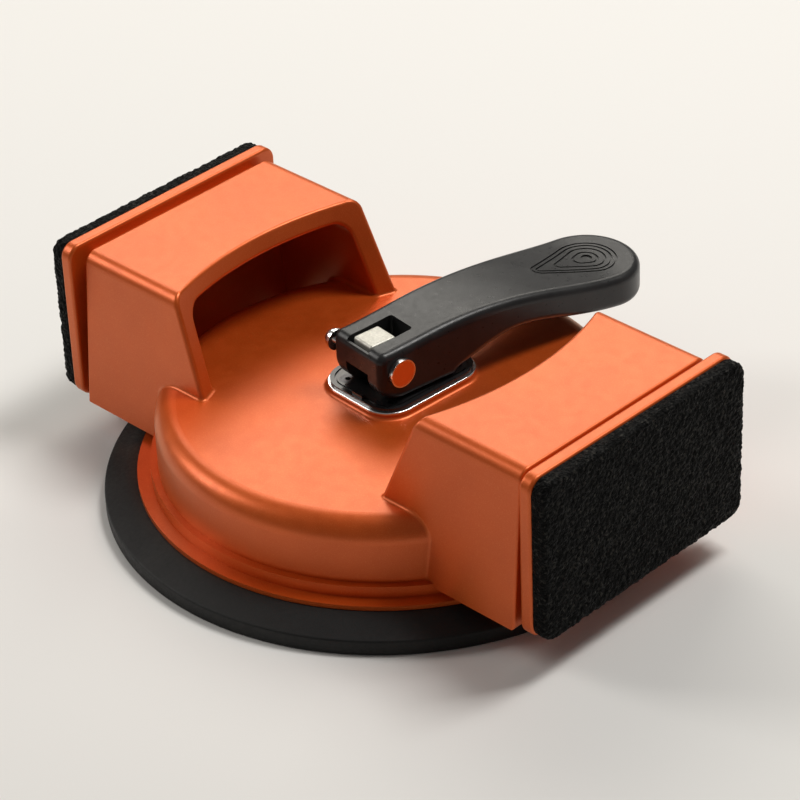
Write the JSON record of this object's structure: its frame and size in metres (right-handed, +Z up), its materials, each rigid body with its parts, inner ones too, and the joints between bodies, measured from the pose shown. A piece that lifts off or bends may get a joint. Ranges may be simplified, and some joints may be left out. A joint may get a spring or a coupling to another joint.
{
  "type": "flooring suction cup",
  "caption": "Round suction gripper for shifting floor planks, with a cast housing, loop handles, foam-faced strike plates at its ends and a cam lever that lifts the pad.",
  "frame": {"origin": "centre of the suction pad's sealing face, on the floor under it", "axes": "+Z up from the floor, +X through both strike pads, +Y towards the free end of the lever"},
  "size_m": [0.1726, 0.1562, 0.0559],
  "materials": {
    "housing_paint": "satin burnt orange metallic paint on a casting",
    "plate_paint": "satin burnt orange metallic paint on flat steel",
    "pad_rubber": "matt black moulded rubber with a fine grain",
    "strike_foam": "coarse black granular foam",
    "bush_bronze": "turned bronze",
    "plated_steel": "zinc plated",
    "spring_steel": "drawn wire",
    "bar_metal": "cast and lightly blasted, off-white silver",
    "bright_trim": "bright plated",
    "black_plate": "satin black",
    "screw_steel": "blackened",
    "lever_paint": "satin black powder coat with a fine grain",
    "cap_paint": "orange lacquer, lightly brushed"
  },
  "bodies": {
    "body": {"housing": "housing_paint", "suction_pad": "pad_rubber", "guide_bush": "bush_bronze", "spring_washer": "plated_steel", "return_spring": "spring_steel", "base_trim": "bright_trim", "base_plate": "black_plate", "base_screws": "screw_steel", "strike_plate_left": "plate_paint", "strike_plate_right": "plate_paint", "strike_pad_left": "strike_foam", "strike_pad_right": "strike_foam", "plate_screws_left": "screw_steel", "plate_screws_right": "screw_steel"},
    "lift": {"draw_bar": "bar_metal", "pad_plate": "plated_steel", "pad_nut": "plated_steel", "lock_nut": "plated_steel"},
    "handle": {"lever": "lever_paint", "hinge_pin": "bright_trim", "pin_cap": "cap_paint", "keeper_screw": "bright_trim", "eye_washers": "plated_steel"}
  },
  "joints": [
    {"name": "draw_bar_lift", "type": "slide", "parent": "body", "child": "lift", "axis": [0, 0, 1], "range_m": [-0.00222, 0], "stiffness_N_per_m": 1500, "springref_m": -0.008, "deforming": ["return_spring", "suction_pad"]},
    {"name": "lever_hinge", "type": "hinge", "parent": "lift", "child": "handle", "pos_m": [-0.00049, -0.00397, 0.04], "axis": [0.9925, -0.1219, 0], "range_deg": [0, 75]}
  ],
  "couplings": [
    {"joint": "lever_hinge", "follows": "draw_bar_lift", "rad_per_m": -588.24}
  ]
}
